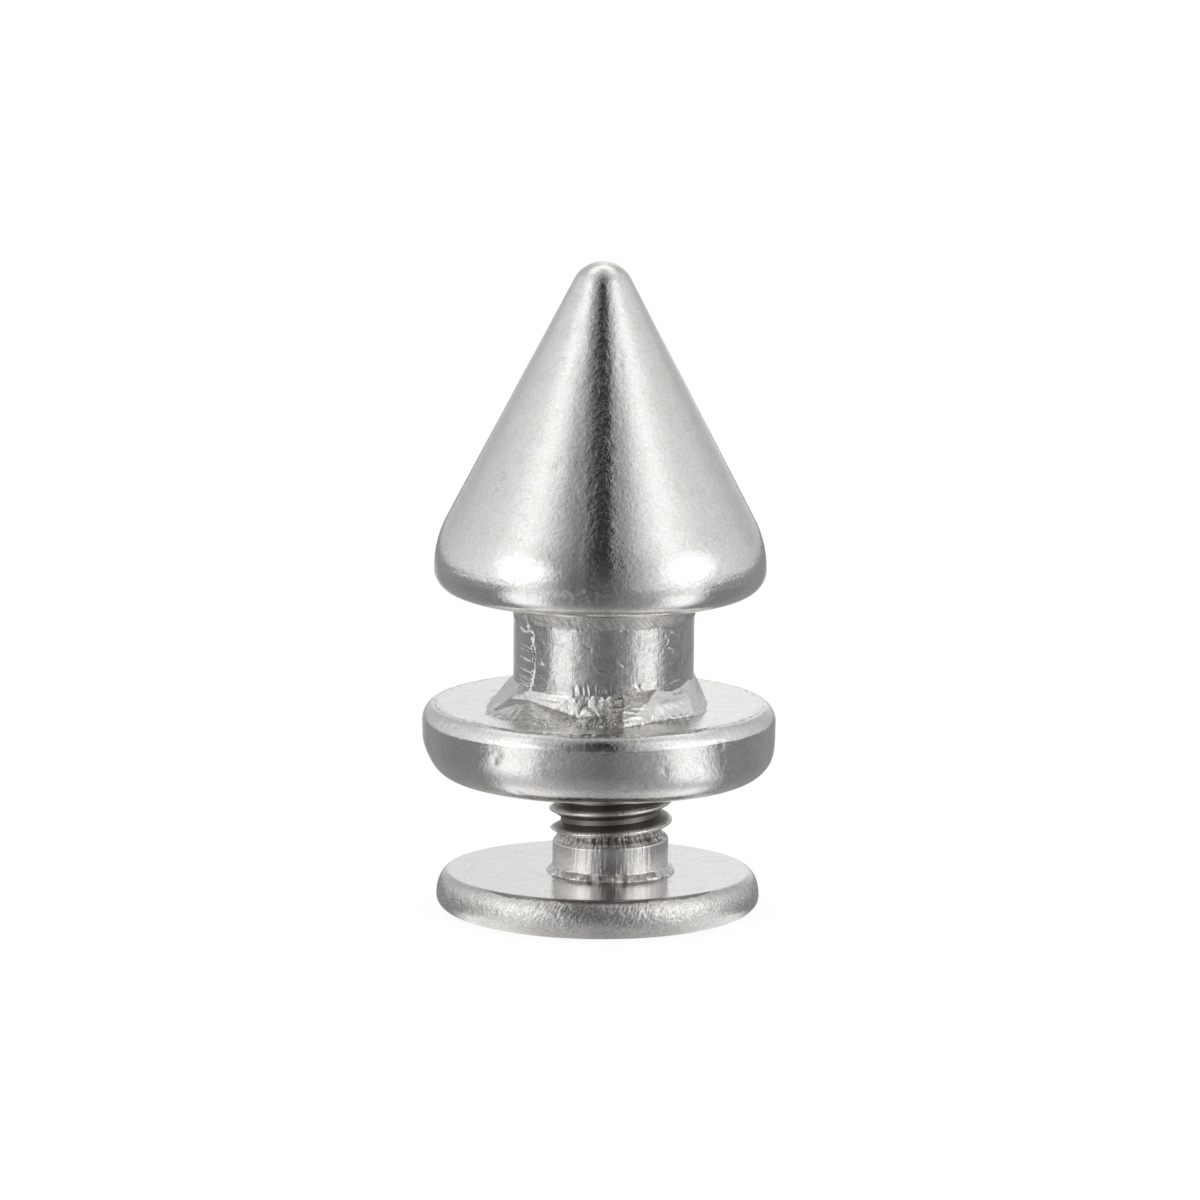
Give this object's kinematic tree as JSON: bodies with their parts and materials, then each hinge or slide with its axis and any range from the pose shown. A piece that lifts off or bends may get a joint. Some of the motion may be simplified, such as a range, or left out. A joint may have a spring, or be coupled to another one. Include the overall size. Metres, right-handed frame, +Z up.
{
  "type": "screw back spike stud",
  "caption": "Pointed cone stud with a grooved neck and round flange, clamped through leather or cloth by a flat round-headed screw that threads into it from behind.",
  "frame": {"origin": "under the middle of the back screw's head, in the plane that the head stands on", "axes": "+Z up the stud's axis to the tip of its cone; +X towards the side on which the screw's shank stands off its head's middle"},
  "size_m": [0.0086, 0.0086, 0.0159],
  "materials": {
    "nickel_plated_zinc": "gloss",
    "nickel_plated_steel": "gloss"
  },
  "bodies": {
    "screw": {"back_screw": "nickel_plated_steel"},
    "stud": {"stud_body": "nickel_plated_zinc"}
  },
  "joints": [
    {"name": "screw_travel", "type": "slide", "parent": "screw", "child": "stud", "axis": [0, 0, 1], "range_m": [-0.00225, 0.003]}
  ]
}
